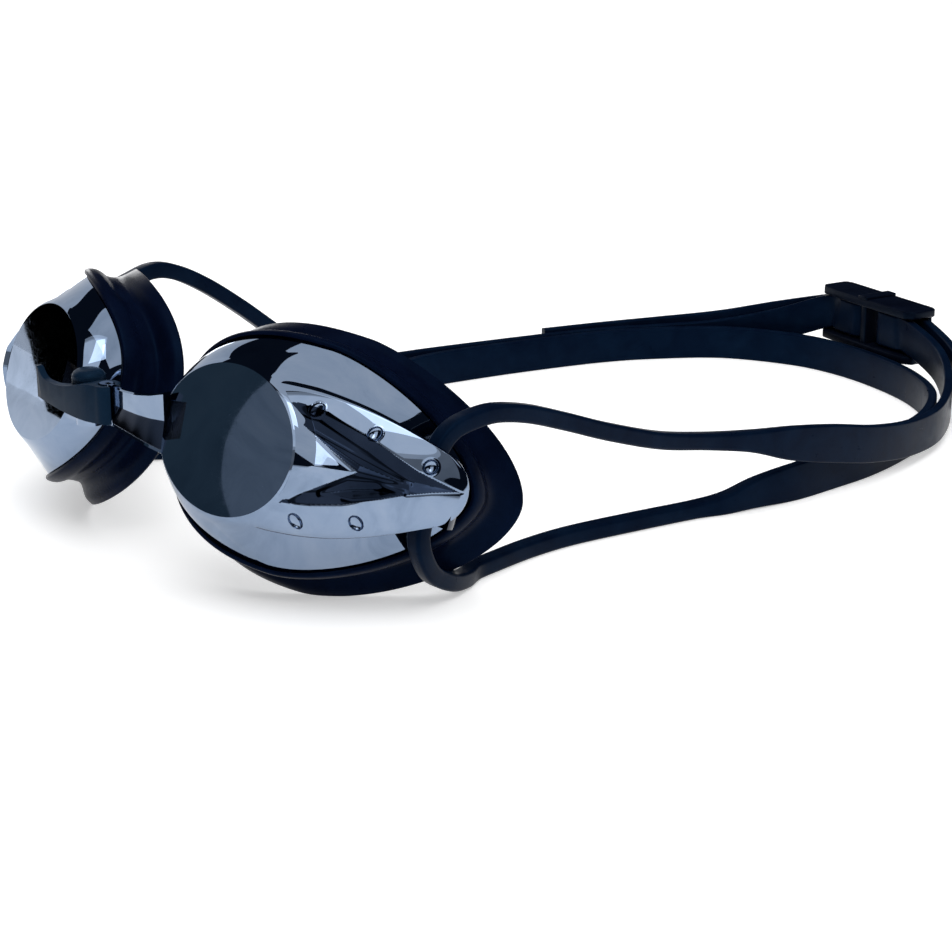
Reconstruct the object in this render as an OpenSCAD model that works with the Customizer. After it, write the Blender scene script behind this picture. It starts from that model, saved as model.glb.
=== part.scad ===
// Racing swim goggles: two hard mirrored eyecups with strap arms, soft gaskets,
// a clip-on nose bridge, one moulded split strap and a ladder clip at the back.
// Millimetres, +Z up, standing on the floor at z = 0. The wearer's left is +X and the front is -Y.

/* [Eyecup] */
// Half width of the flat front window
window_half_w = 17; // [15:0.5:18]
// Half height of the flat front window
window_half_h = 14.5; // [13:0.5:16]
// Thickness of the lens wall
wall = 1.5; // [1.2:0.1:2]
// Reach of the rim from its middle towards the temple
rim_temple = 23.1; // [22.5:0.1:23.5]
// Reach of the rim from its middle towards the nose
rim_nasal = 28.9; // [28:0.1:29.3]
// Height of the rim above its middle line
rim_up = 19.7; // [19:0.1:20.2]
// Depth of the rim below its middle line
rim_down = 22; // [21.4:0.1:22.4]
// How fast the rim wraps back round the face
rim_wrap = 0.0172; // [0.0152:0.0004:0.02]
/* [Strap arm] */
// Angle that the strap arm sweeps back from the window
arm_sweep = 36; // [34:1:38]
// Distance from the window's edge to the round tip of the arm
arm_reach = 23.8; // [23:0.2:25]
// Radius of the arm's round tip
arm_tip_r = 6.9; // [6:0.1:7.2]
// Thickness of the arm
arm_thick = 2; // [1.6:0.1:2.2]
/* [Pose of the eyecups] */
// Sideways distance from the middle to each window's centre
cup_x = 30.5; // [30:0.5:32]
// Height of each window's centre above the floor
cup_z = 31.6; // [31.6:0.1:32.4]
// Angle that each window faces outward
cup_yaw = 10; // [8:1:12]
// Angle that each window tips up
cup_pitch = 18; // [16:1:19]
// Angle that each eyecup's temple end drops
cup_roll = 7.2; // [6:0.2:8]
/* [Gasket] */
// How far the skirt flares out past the rim
skirt_flare = 3.9; // [3:0.1:4.2]
// How far the skirt reaches behind the rim
skirt_depth = 10.3; // [9.9:0.1:11]
/* [Strap] */
// Half width of the square strands
strand_half = 1.7; // [1.5:0.1:1.8]
// Half thickness of the flat band
band_half_t = 1; // [0.8:0.1:1.1]
// Half height of the flat band
band_half_h = 4; // [3.5:0.25:4.2]
/* [Clip] */
// Length of the ladder clip
clip_len = 34; // [33:0.5:35]
// Height of the ladder clip
clip_h = 13; // [12.5:0.5:14]
/* [Bridge] */
// Height of the nose bridge
bridge_h = 7.3; // [6.5:0.1:8]
// Height of the bridge's underside above the floor
bridge_z = 28.6; // [28:0.1:29]

/* [Hidden] */
mirror_blue = "#8396b4";
navy = "#141d33";
around = 64;
fine = 48;
gap = 0.3;

// ---- small vector helpers ----
function unit(v) = v / norm(v);
function lerp(a, b, t) = a + (b - a) * t;
function signed_pow(v, p) = sign(v) * pow(abs(v), p);

// ---- solids made of rings ----
// A closed solid skinned over rings of equal length, with flat caps on the first and the last ring.
module skin(rings) {
    n = len(rings[0]);
    last = (len(rings) - 1) * n;
    sides = [for (i = [0:len(rings) - 2], j = [0:n - 1], k = [0, 1])
        let (a = i * n + j, b = i * n + (j + 1) % n)
        k == 0 ? [a, b, b + n] : [a, b + n, a + n]];
    front = [for (j = [n - 1:-1:0]) j];
    back = [for (j = [0:n - 1]) last + j];
    polyhedron([for (r = rings) each r], concat(sides, [front], [back]));
}
// A closed ring-shaped solid: the last ring of points joins the first.
module hoop(rings) {
    n = len(rings[0]);
    m = len(rings);
    sides = [for (i = [0:m - 1], j = [0:n - 1], k = [0, 1])
        let (p = (i + 1) % m, a = i * n + j, b = i * n + (j + 1) % n,
             c = p * n + (j + 1) % n, d = p * n + j)
        k == 0 ? [a, c, b] : [a, d, c]];
    polyhedron([for (r = rings) each r], sides);
}

// ---- eyecup shape, in the eyecup's own frame: x to the temple, y up, z out of the window ----
rim_x = 9.4;
rim_y = 1.25;
rim_power_temple = 1.67;
rim_power_nasal = 2.1;
rim_z = -5.8;
rim_wrap_x = -7.1;
lip = 1.5;
rim_bulge = 0.5;
window_bevel = 0.9;
window_thick = 1.8;

function rim_xy(a) = let (
    temple = cos(a) > 0,
    power = 2 / (temple ? rim_power_temple : rim_power_nasal))
    [rim_x + (temple ? rim_temple : rim_nasal) * signed_pow(cos(a), power),
     rim_y + (sin(a) > 0 ? rim_up : rim_down) * signed_pow(sin(a), power)];
function rim_depth(x) = rim_z - rim_wrap * pow(x - rim_wrap_x, 2);
// Outward direction of the rim in the window's plane.
function rim_out(a) = let (d = rim_xy(a + 1) - rim_xy(a - 1)) unit([d[1], -d[0]]);
// A point r outside the rim and d behind it.
function rim_point(a, r, d) = let (p = rim_xy(a), o = rim_out(a))
    [p[0] + r * o[0], p[1] + r * o[1], rim_depth(p[0]) - d];
function window_point(a, inset, z) =
    [(window_half_w - inset) * cos(a), (window_half_h - inset) * sin(a), z];
// Wall between the window's edge (t = 0) and the rim (t = 1), swelling a little in between.
function wall_point(a, t, inset) = let (
    w = window_point(a, inset, -window_bevel),
    r = rim_point(a, -inset, 0),
    o = rim_out(a),
    s = rim_bulge * sin(180 * t))
    lerp(w, r, t) + [s * o[0], s * o[1], 0];
angles = [for (i = [0:around - 1]) 360 * i / around];
function ring(f) = [for (a = angles) f(a)];

module cup_shell() {
    inner = wall;
    skin([
        ring(function (a) window_point(a, window_bevel, 0)),
        ring(function (a) window_point(a, 0, -window_bevel)),
        ring(function (a) wall_point(a, 0.35, 0)),
        ring(function (a) wall_point(a, 0.7, 0)),
        ring(function (a) rim_point(a, 0, 0)),
        ring(function (a) rim_point(a, 0, lip)),
        ring(function (a) rim_point(a, -inner, lip)),
        ring(function (a) wall_point(a, 0.7, inner)),
        ring(function (a) wall_point(a, 0.35, inner)),
        ring(function (a) window_point(a, inner, -window_thick - 0.6))]);
}

// ---- strap arm: a tongue from the window's temple side back to a round tip ----
arm_up = 75;
arm_down = -78;
arm_tip_y = 3.5;
arm_tip_up = 80;
arm_tip_down = 58;
arm_bow_up = 2;
arm_bow_down = 3;
arm_root_z = -0.5;
arm_rows = 14;
arm_cols = 12;
channel_depth = 1.1;
channel_v = 0.12;
function arm_frame(p) = [16.5 + p[0] * cos(arm_sweep) + p[2] * sin(arm_sweep), p[1],
                         arm_root_z - p[0] * sin(arm_sweep) + p[2] * cos(arm_sweep)];
// s runs from the window (0) to the tip (1), v from the lower edge (-1) to the upper edge (1).
function arm_root(v) = let (a = lerp(arm_down, arm_up, (v + 1) / 2)) window_point(a, 0.6, -0.5);
function arm_tip(v) = let (a = (v > 0 ? arm_tip_up : arm_tip_down) * v)
    arm_frame([arm_reach + arm_tip_r * cos(a), arm_tip_y + arm_tip_r * sin(a), 0]);
// The arm's two edges bow outward between the window and the tip.
function arm_mid(s, v) = lerp(arm_root(v), arm_tip(v), s)
    + [0, v * (v > 0 ? arm_bow_up : arm_bow_down) * sin(180 * s), 0];
// Channel between the two ridges, closing to nothing at the tip.
function arm_relief(s, v) = let (half = 0.6 * pow(1 - s, 0.9) + 0.03, c = abs(v - channel_v) / half)
    c >= 1 ? 0 : -channel_depth * min(1, (1 - c) * 1.6) * min(1, s * 6) * (1 - pow(s, 6));
function arm_top(s, v) = let (p = arm_mid(s, v), crown = 0.9 * sin(180 * s))
    p + (arm_relief(s, v) + crown) * [sin(arm_sweep), 0, cos(arm_sweep)];
function arm_back(s, v) = let (p = arm_mid(s, v), crown = 0.9 * sin(180 * s))
    p + (crown - arm_thick) * [sin(arm_sweep), 0, cos(arm_sweep)];
module arm_plate() {
    rows = [for (i = [0:arm_rows]) i / arm_rows];
    vs = [for (j = [0:arm_cols]) 2 * j / arm_cols - 1];
    skin([for (s = rows) concat(
        [for (v = vs) arm_top(s, v)],
        [for (k = [arm_cols:-1:0]) arm_back(s, vs[k])])]);
}
// Sheet that closes the slot behind the arm, from the tip back to the wall.
web_top = 7;
web_foot = -2.6;
web_outline = [[37.6, -16.6], [39.8, -17.4], [39.6, -19.2], [37.6, -22.4], [34.8, -26.2], [32, -29],
    [30, -30], [28.2, -27.8], [30.6, -26.4], [33, -23.8], [36, -20.4]];
module arm_web() {
    translate([0, web_foot, 0]) rotate([90, 0, 0]) mirror([0, 0, 1])
        linear_extrude(web_top - web_foot) polygon(web_outline);
}
dimple_r = 1.35;
dimple_deep = 0.8;
dimple_sides = 20;
// Places of the grip dimples along and across the arm.
dimples = [[0.17, 0.65], [0.48, 0.56], [0.78, 0.37], [0.21, -0.59], [0.50, -0.52]];
module arm_dimples() {
    for (d = dimples) {
        p = arm_top(d[0], d[1]);
        translate(p) rotate([0, arm_sweep, 0]) translate([0, 0, -dimple_deep])
            cylinder(r = dimple_r, h = 4, $fn = dimple_sides);
    }
}

// Puts an eyecup, drawn in its own frame, at its place on the wearer's left.
module place_cup() {
    translate([cup_x, 0, cup_z]) rotate([0, 0, cup_yaw]) rotate([90 - cup_pitch, 0, 0])
        rotate([0, 0, -cup_roll]) children();
}
// The moulded lens is one smooth shell; resize() at no change keeps it as one surface.
module lens_body() {
    resize([0, 0, 0]) difference() {
        union() {
            cup_shell();
            arm_plate();
            arm_web();
        }
        arm_dimples();
    }
}

// ---- nose bridge and its two pivots, in the row's frame ----
left_pivot = [-1.5, -3.6];
right_pivot = [-9.4, -2.4];
trunnion_r = 1.3;
socket_r = 2.6;
barrel_r = 3.2;
pin_r = 1.4;
barrel_cap = 1.1;
pin_bore = 6.8;
module left_lens() {
    color(mirror_blue) {
        place_cup() lens_body();
        left_nasal_arm();
    }
}
// Mirrored arm from the left eyecup's nasal edge to its trunnion in the bridge.
arm_start = left_pivot[0] + socket_r + gap;
// Front and back faces of the arm at each x, with its lower and upper edge above the bridge's underside.
nasal_arm = [[arm_start, -4.6, -3.0, -0.4, 7.2], [4.6, -4.9, -3.1, -0.6, 7.3], [9, -5.1, -3.2, -1.0, 7.7],
    [13, -4.9, -2.9, -1.6, 8.4], [16.5, -4.3, -1.6, -2.2, 9.3]];
module left_nasal_arm() {
    skin([for (q = nasal_arm) [
        [q[0], q[1], bridge_z + q[3]], [q[0], q[1], bridge_z + q[4]],
        [q[0], q[2], bridge_z + q[4]], [q[0], q[2], bridge_z + q[3]]]]);
    translate([left_pivot[0], left_pivot[1], bridge_z - 0.4]) {
        cylinder(r = trunnion_r, h = bridge_h + 0.6, $fn = fine);
        translate([0, -0.45, 0]) cube([socket_r + gap + 0.6, 0.9, bridge_h + 0.6]);
    }
}
module right_lens() {
    color(mirror_blue) {
        mirror([1, 0, 0]) place_cup() lens_body();
        right_nasal_lug();
    }
}
lug_t = 2;
lug_reach = 6.4;
module right_nasal_lug() {
    translate([right_pivot[0], right_pivot[1], bridge_z - gap - lug_t]) {
        cylinder(r = pin_r, h = lug_t + 5.5, $fn = fine);
        cylinder(r = barrel_r - 0.4, h = lug_t, $fn = fine);
        translate([-lug_reach, -1.6, 0]) cube([lug_reach, 3.4, lug_t]);
    }
}
plate_deep = 8;
// The plate seen from the front, above the bridge's underside: a raised free end, then a scooped top edge.
plate_front = [[-22, 1.4], [-14, 0.6], [-6, 0], [-1, 0], [-1, 7.3], [-3.4, 7.3], [-7, 6.5], [-10, 5.7],
    [-13.5, 5.2], [-17, 5.3], [-19, 5.9], [-20.6, 7.3], [-22, 7.3]];
module nose_bridge() {
    color(navy) difference() {
        translate([0, 0, bridge_z]) union() {
            // Front plate: its outline from above, trimmed to its outline from the front.
            intersection() {
                linear_extrude(bridge_h) polygon([[-21.6, -5.3], [-21.2, -6.6], [-16, -7.1], [-10, -7.2],
                    [-4, -6.8], [-1.5, -6.2], [-3.4, -3.6], [-5.6, -2.2], [-9.4, -1.4], [-12.4, -4.6],
                    [-14, -5.5], [-17, -5.7], [-20, -5.4]]);
                translate([0, -1, 0]) rotate([90, 0, 0]) linear_extrude(plate_deep) polygon(plate_front);
            }
            linear_extrude(bridge_h) {
                translate(left_pivot) circle(r = socket_r, $fn = fine);
                translate(right_pivot) circle(r = barrel_r, $fn = fine);
            }
            translate([right_pivot[0], right_pivot[1], bridge_h])
                cylinder(r1 = barrel_r, r2 = barrel_r - 1, h = barrel_cap, $fn = fine);
        }
        // Bore for the right eyecup's pin.
        translate([right_pivot[0], right_pivot[1], bridge_z - 1])
            cylinder(r = pin_r + gap, h = pin_bore, $fn = fine);
        // Socket for the left eyecup's trunnion, with a mouth towards the left.
        translate([left_pivot[0], left_pivot[1], bridge_z - 1]) {
            cylinder(r = trunnion_r + gap, h = bridge_h + 2, $fn = fine);
            translate([0, -0.85, 0]) cube([4, 1.7, bridge_h + 2]);
        }
    }
}

// ---- gasket ----
// The skirt flares less at the temple and more under the eye.
function skirt_r(a) = skirt_flare - 1.1 * cos(a) + 0.4 * cos(2 * a) - 0.8 * sin(a);
function skirt_d(a) = skirt_depth + 0.8 * cos(a);
// Profile of the gasket as [distance outside the rim, distance behind the rim's front].
function gasket_profile(a) = let (r = skirt_r(a), d = skirt_d(a))
    [[0.06, -0.7], [0.7, -0.6], [1.05, 0.3], [1.1, 1.8], [0.75, 3], [0.25, 4.2], [0.25, 5.8], [0.7, 7.2],
     [r - 1.2, d - 1.6], [r, d], [r - 0.2, d + 0.6], [r - 1.3, d + 0.2], [-0.6, 8.2], [-1.6, 5.6],
     [-wall - 0.2, lip + 0.06], [0.06, lip + 0.06]];
module gasket_body() {
    hoop([for (a = angles) [for (q = gasket_profile(a)) rim_point(a, q[0], q[1])]]);
}
module left_gasket() {
    color(navy) place_cup() gasket_body();
}
module right_gasket() {
    color(navy) mirror([1, 0, 0]) place_cup() gasket_body();
}

// ---- strap ----
// One moulded strip: a square strand round each arm, widening to a flat band at the back.
// Each route point is [x, y, z, half thickness, half height].
w = strand_half;
t = band_half_t;
h = band_half_h;
// Round the arm on the wearer's left, from the floor up through the slot and back.
loop_route = [[49.3, 48, w, w, w], [50.2, 42, w, w, w], [52.8, 37.2, 2.1, w, w], [55.2, 31.6, 3.5, w, w],
    [56.8, 26, 6.6, w, w], [58, 22.6, 10.8, w, w], [58.6, 21.2, 15.4, w, w], [58.9, 22.4, 21, w, w],
    [59.2, 23.8, 27, w, w], [59.5, 25.2, 31.6, w, w], [59.9, 28, 34.4, w, w], [60.2, 32.5, 35.5, w, w],
    [60.3, 38, 35.6, w, w], [60.2, 46, 33.8, w, w]];
right_loop_route = [[-49.3, 48, w, w, w], [-50.2, 42, w, w, w], [-52.8, 37.2, 2.1, w, w],
    [-55.2, 31.6, 3.5, w, w], [-56.8, 26, 6.6, w, w], [-58, 22.6, 10.8, w, w], [-58.6, 21.2, 15.4, w, w],
    [-58.9, 22.4, 21, w, w], [-59.2, 23.8, 27, w, w], [-59.5, 25.4, 31.6, w, w], [-59.8, 29, 34.6, w, w],
    [-60, 34.6, 36, w, w], [-60.1, 41, 38, w, w], [-60.1, 47, 39.4, w, w]];
left_lower_route = [[58.6, 112, 3.4, 1.3, 3.2], [56.6, 105, 2.2, 1.6, 2.2], [54.1, 98, w, w, w],
    [51.2, 84, w, w, w], [48.6, 69, w, w, w], [48.3, 58, w, w, w]];
right_lower_route = [[-55.6, 114, 3.6, 1.2, 3.6], [-55.6, 105, 2.4, 1.6, 2.4], [-54, 96, w, w, w],
    [-51.2, 84, w, w, w], [-48.6, 69, w, w, w], [-48.3, 58, w, w, w]];
left_upper_route = [[60, 55.5, 30.4, w, w], [60, 67, 26, w, w], [60.1, 81, 21.4, w, w],
    [60.6, 94, 18.6, w, w], [62, 106, 16.4, 1.6, 2.2], [63.4, 117, 14, 1.2, 3.5]];
right_upper_route = [[-60.1, 53, 38.2, w, w], [-60.1, 61, 34, w, w], [-60, 70.5, 27.4, w, w],
    [-60.1, 80.4, 19.8, w, w], [-60.4, 91, 12.4, w, w], [-60.2, 102, 7.4, 1.6, 2.4],
    [-59.6, 113, 5, 1.2, 3.6]];
left_band_route = [[64.2, 129, 11.6, t, h], [64.2, 143, 8.6, t, h], [62.4, 158, 6.4, t, h],
    [58.4, 173, 5.8, t, h], [50.2, 187.4, 7, t, h], [39.6, 198, 10.4, t, h]];
right_band_route = [[-57.8, 126, 4.2, t, h], [-52.4, 147, h, t, h], [-45.2, 169, h, t, h],
    [-37, 184.6, h, t, h], [-27.4, 196.8, 5, t, h], [-16, 205.6, 8.4, t, h]];
back_route = [[60.6, 122, h, t, h], [61, 134, h, t, h], [60.8, 146, h, t, h], [58.8, 159, h, t, h],
    [54.8, 173, h, t, h], [46.4, 186.6, h, t, h], [33.7, 196, h, t, h], [18.8, 201.5, h, t, h],
    [4, 203.8, h, t, h], [-9, 202.2, h, t, h], [-24.4, 194.6, h, t, h], [-35, 181.8, h, t, h],
    [-42.4, 168, h, t, h], [-49.4, 146, h, t, h], [-54.2, 125, h, t, h]];
left_tail_route = [[42.8, 199.4, 10.8, t, h], [52.2, 189.6, 7.6, t, h]];
right_tail_route = [[-17.2, 208.4, 9.8, t, h], [-29.2, 199.2, 6.6, t, h], [-39.2, 186.4, 5.2, t, h],
    [-46.4, 172, 4.8, t, h], [-52, 158, 4.6, t, h]];

// Ladder clip: its middle, its turn in plan and the reach of each band's turn round its bar.
clip_at = [11.6, 209.6, 13.4];
clip_turn = -12;
bar_u = 5.6;
bar_r = 1;
turn_r = bar_r + 0.25 + band_half_t;
clip_in = 15;
function clip_point(u, v) = [clip_at[0] + u * cos(clip_turn) - v * sin(clip_turn),
                             clip_at[1] + u * sin(clip_turn) + v * cos(clip_turn), clip_at[2], t, h];
// A band's turn round its bar, from the inner run to the outer run; side is 1 on the left.
function turn_route(side) = concat(
    [for (u = [clip_in, 10]) clip_point(side * u, -turn_r)],
    [for (a = [0:30:180]) clip_point(side * (bar_u - turn_r * sin(a)), -turn_r * cos(a))],
    [for (u = [10, clip_in]) clip_point(side * u, turn_r)]);

function reversed(list) = [for (i = [len(list) - 1:-1:0]) list[i]];
// The whole strip, from the left tail round both arms to the right tail.
parts_of_strap = [
    reversed(left_tail_route), reversed(turn_route(1)), reversed(left_band_route),
    reversed(left_upper_route), reversed(loop_route), reversed(left_lower_route), back_route,
    right_lower_route, right_loop_route, right_upper_route, right_band_route,
    turn_route(-1), right_tail_route];
strap_route = [for (part = parts_of_strap) each part];
// Where each part starts in the whole route.
function start_of(k) = k == 0 ? 0 : start_of(k - 1) + len(parts_of_strap[k - 1]);

function spline(i, u) = let (
    a = strap_route[max(i - 1, 0)], b = strap_route[i],
    c = strap_route[min(i + 1, len(strap_route) - 1)], d = strap_route[min(i + 2, len(strap_route) - 1)])
    0.5 * (2 * b + (c - a) * u + (2 * a - 5 * b + 4 * c - d) * u ^ 2 + (3 * b - a - 3 * c + d) * u ^ 3);
function place(p) = [p[0], p[1], p[2]];
back_centre_y = 150;
// Rounded rectangle across the strip at position u after route point i.
function strap_ring(i, u) = let (
    p = spline(i, u),
    last = len(strap_route) - 1,
    ahead = i >= last ? place(spline(last, 0)) : place(spline(i, min(u + 0.05, 1))),
    before = i == 0 ? place(spline(0, 0)) : place(spline(i - 1, 0.95)),
    behind = u > 0.05 ? place(spline(i, u - 0.05)) : before,
    along = unit(ahead - behind),
    out_flat = [p[0], max(0, p[1] - back_centre_y), 0],
    out = unit(out_flat - (out_flat * along) * along),
    up = cross(along, out),
    c = 0.4 * min(p[3], p[4]),
    corners = [[p[3], p[4] - c], [p[3] - c, p[4]], [c - p[3], p[4]], [-p[3], p[4] - c],
               [-p[3], c - p[4]], [c - p[3], -p[4]], [p[3] - c, -p[4]], [p[3], c - p[4]]])
    [for (q = corners) place(p) + q[0] * out + q[1] * up];
steps = 2;
module strip(first, last) {
    inner = [for (i = [first:last - 1], k = [0:steps - 1]) strap_ring(i, k / steps)];
    rings = concat(inner, [strap_ring(last, 0)]);
    color(navy) skin([for (r = rings) reversed(r)]);
}
module left_tail() {
    strip(0, start_of(1) + 2);
}
module left_upper_band() {
    strip(start_of(1) + 2, start_of(3));
}
module left_upper_strand() {
    strip(start_of(3), start_of(4) - 1);
}
module left_strap_loop() {
    strip(start_of(4) - 1, start_of(5));
}
module left_lower_strand() {
    strip(start_of(5), start_of(6));
}
module lower_back_band() {
    strip(start_of(6), start_of(7) - 1);
}
module right_lower_strand() {
    strip(start_of(7) - 1, start_of(8));
}
module right_strap_loop() {
    strip(start_of(8), start_of(9) + 1);
}
module right_upper_strand() {
    strip(start_of(9) + 1, start_of(10));
}
module right_upper_band() {
    strip(start_of(10), start_of(12) - 3);
}
module right_tail() {
    strip(start_of(12) - 3, len(strap_route) - 1);
}

// ---- ladder clip ----
rail_t = 1.9;
clip_half_v = 4.7;
cover_t = 1.1;
cover_w = 3;
module strap_clip() {
    end = clip_len / 2;
    deep = clip_half_v;
    color(navy) translate([clip_at[0], clip_at[1], clip_at[2] - clip_h / 2]) rotate([0, 0, clip_turn]) {
        for (z = [0, clip_h - rail_t]) translate([0, 0, z]) linear_extrude(rail_t)
            polygon([[-end, -2.6], [2 - end, 0.4 - deep], [-6, -deep], [6, -deep], [end - 2, 0.4 - deep],
                     [end, -2.6], [end, deep - 1.4], [end - 2, deep], [2 - end, deep], [-end, deep - 1.4]]);
        for (u = [-bar_u, bar_u]) translate([u, 0, 0]) cylinder(r = bar_r, h = clip_h, $fn = fine);
        translate([-0.9, 0.6 - deep, 0]) cube([1.8, 2 * deep - 1.2, clip_h]);
        for (side = [-1, 1]) translate([side * (end - 3.5) - cover_w / 2, deep - cover_t, 0])
            cube([cover_w, cover_t, clip_h]);
        translate([-1.6, -deep, clip_h - 0.2]) cube([3.2, 2 * deep, 0.9]);
    }
}

left_lens();
right_lens();
left_gasket();
right_gasket();
nose_bridge();
left_strap_loop();
right_strap_loop();
left_upper_strand();
right_upper_strand();
left_lower_strand();
right_lower_strand();
left_upper_band();
right_upper_band();
lower_back_band();
left_tail();
right_tail();
strap_clip();
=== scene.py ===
import math

import bmesh
import bpy
import numpy as np
from mathutils import Matrix, Vector


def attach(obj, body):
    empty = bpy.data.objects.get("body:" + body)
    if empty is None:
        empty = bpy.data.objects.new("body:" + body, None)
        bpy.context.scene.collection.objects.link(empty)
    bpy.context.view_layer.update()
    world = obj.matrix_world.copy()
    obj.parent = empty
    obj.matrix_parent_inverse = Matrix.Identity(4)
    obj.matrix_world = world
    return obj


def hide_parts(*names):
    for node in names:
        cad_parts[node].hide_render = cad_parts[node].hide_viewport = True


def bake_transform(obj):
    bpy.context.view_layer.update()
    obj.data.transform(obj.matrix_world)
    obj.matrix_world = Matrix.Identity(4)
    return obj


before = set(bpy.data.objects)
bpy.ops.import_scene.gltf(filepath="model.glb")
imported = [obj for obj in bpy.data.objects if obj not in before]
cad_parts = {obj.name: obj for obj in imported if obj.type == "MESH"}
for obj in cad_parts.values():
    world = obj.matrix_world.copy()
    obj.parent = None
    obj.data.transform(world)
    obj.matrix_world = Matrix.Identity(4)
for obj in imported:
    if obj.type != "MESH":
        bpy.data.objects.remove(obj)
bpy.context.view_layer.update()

MM = 0.001
MERGE_DISTANCE = 1e-7
FLIP_X = np.array([-1, 1, 1])

# ---------------------------------------------------------------- sizes, in millimetres
# Nearly all of them are the CAD's.
# Half width and half height of the window, then the rest of the eyecup.
WINDOW_W = 17.0
WINDOW_H = 14.5
WALL = 1.5
BEVEL = 0.9
WINDOW_THICK = 1.8
LIP = 1.5
RIM_TEMPLE, RIM_NASAL, RIM_UP, RIM_DOWN = 23.1, 28.9, 19.7, 22.0
RIM_X, RIM_Y, RIM_Z = 9.4, 1.25, -5.8
POWER_TEMPLE, POWER_NASAL = 1.67, 2.1
RIM_WRAP, RIM_WRAP_X = 0.0172, -7.1
RIM_BULGE = 0.5
CUP_X, CUP_Z = 30.5, 31.6
CUP_YAW, CUP_PITCH, CUP_ROLL = 10.0, 18.0, 7.2
SKIRT_FLARE, SKIRT_DEPTH = 3.9, 10.3
ARM_SWEEP = math.radians(36)
ARM_ROOT_X, ARM_ROOT_Z = 16.5, -0.5
ARM_REACH, ARM_TIP_R, ARM_TIP_Y = 23.8, 6.9, 3.5
ARM_UP, ARM_DOWN = 75.0, -78.0
ARM_TIP_UP, ARM_TIP_DOWN = 80.0, 58.0
ARM_BOW_UP, ARM_BOW_DOWN = 2.0, 3.0
ARM_THICK = 2.0
# Half thickness of the square strands, then half thickness and half height of the flat band.
STRAND = 1.7
BAND_T, BAND_H = 1.0, 4.0
CLIP_AT = (11.6, 209.6, 13.4)
CLIP_TURN = math.radians(-12)
CLIP_LEN, CLIP_H = 34.0, 13.0
CLIP_IN = 15.0
CLIP_HALF_V = 4.7
RAIL_T = 1.9
RAIL_SINK = 0.5
BAR_U, BAR_R = 5.6, 1.0
BAR_PLAY = 0.25
TURN_R = BAR_R + BAR_PLAY + BAND_T
BRIDGE_H, BRIDGE_Z = 7.3, 28.6
LEFT_PIVOT = (-1.5, -3.6)
RIGHT_PIVOT = (-9.4, -2.4)
SOCKET_R, BARREL_R, PIN_R, TRUNNION_R = 2.6, 3.2, 1.4, 1.3
PIN_LONG, BORE_DEEP = 7.5, 5.8
GAP = 0.3


# ---------------------------------------------------------------- small helpers
def sd(degrees):
    """Sine of an angle in degrees."""
    return math.sin(math.radians(degrees))


def cd(degrees):
    """Cosine of an angle in degrees."""
    return math.cos(math.radians(degrees))


def unit(v):
    v = np.asarray(v, float)
    return v / np.linalg.norm(v)


def smooth(t):
    """0 to 1 with a soft start and a soft end."""
    t = np.clip(t, 0.0, 1.0)
    return t * t * (3 - 2 * t)


def make_object(name, vertices, faces, materials, body, sharp, mirrored=False):
    """A mesh object from points in millimetres, riding on a body unless body is None."""
    points = np.asarray(vertices, float) * MM
    if mirrored:
        points = points * FLIP_X
        faces = [tuple(reversed(f)) for f in faces]
    mesh = bpy.data.meshes.new(name)
    mesh.from_pydata(points.tolist(), [], [tuple(int(i) for i in f) for f in faces])
    obj = bpy.data.objects.new(name, mesh)
    bpy.context.scene.collection.objects.link(obj)
    finish_mesh(obj, sharp)
    for m in materials:
        mesh.materials.append(m)
    if body:
        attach(obj, body)
    return obj


def finish_mesh(obj, sharp=35):
    """Outward normals, and smooth shading with edges over the angle sharp, in degrees, kept."""
    bm = bmesh.new()
    bm.from_mesh(obj.data)
    bmesh.ops.remove_doubles(bm, verts=bm.verts, dist=MERGE_DISTANCE)
    bmesh.ops.recalc_face_normals(bm, faces=bm.faces)
    bm.to_mesh(obj.data)
    bm.free()
    obj.data.shade_smooth()
    obj.data.set_sharp_from_angle(angle=math.radians(sharp))


def skin(rings, closed_loop=False):
    """Vertices and faces over rings of equal length; an open row of rings gets flat end caps."""
    n = len(rings[0])
    m = len(rings)
    vertices = [p for ring in rings for p in ring]
    faces = []
    for i in range(m if closed_loop else m - 1):
        a, b = i * n, ((i + 1) % m) * n
        faces += [(a + j, a + (j + 1) % n, b + (j + 1) % n, b + j) for j in range(n)]
    if not closed_loop:
        faces.append(tuple(range(n - 1, -1, -1)))
        faces.append(tuple((m - 1) * n + j for j in range(n)))
    return vertices, faces


def grid_plate(top, back):
    """A closed plate between two grids of points, top and back, of the same size."""
    rows, cols = len(top), len(top[0])
    vertices = [p for row in top for p in row] + [p for row in back for p in row]

    def at(i, j, k):
        return (k * rows + i) * cols + j

    faces = []
    for i in range(rows - 1):
        for j in range(cols - 1):
            faces.append((at(i, j, 0), at(i, j + 1, 0), at(i + 1, j + 1, 0), at(i + 1, j, 0)))
            faces.append((at(i, j, 1), at(i + 1, j, 1), at(i + 1, j + 1, 1), at(i, j + 1, 1)))
    last = rows - 1
    for j in range(cols - 1):
        faces.append((at(0, j, 0), at(0, j, 1), at(0, j + 1, 1), at(0, j + 1, 0)))
        faces.append((at(last, j, 0), at(last, j + 1, 0), at(last, j + 1, 1), at(last, j, 1)))
    last = cols - 1
    for i in range(rows - 1):
        faces.append((at(i, 0, 0), at(i + 1, 0, 0), at(i + 1, 0, 1), at(i, 0, 1)))
        faces.append((at(i, last, 0), at(i, last, 1), at(i + 1, last, 1), at(i + 1, last, 0)))
    return vertices, faces


def merge(*parts):
    """Joins several (vertices, faces) into one."""
    vertices, faces = [], []
    for v, f in parts:
        base = len(vertices)
        vertices += list(v)
        faces += [tuple(i + base for i in face) for face in f]
    return vertices, faces


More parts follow.
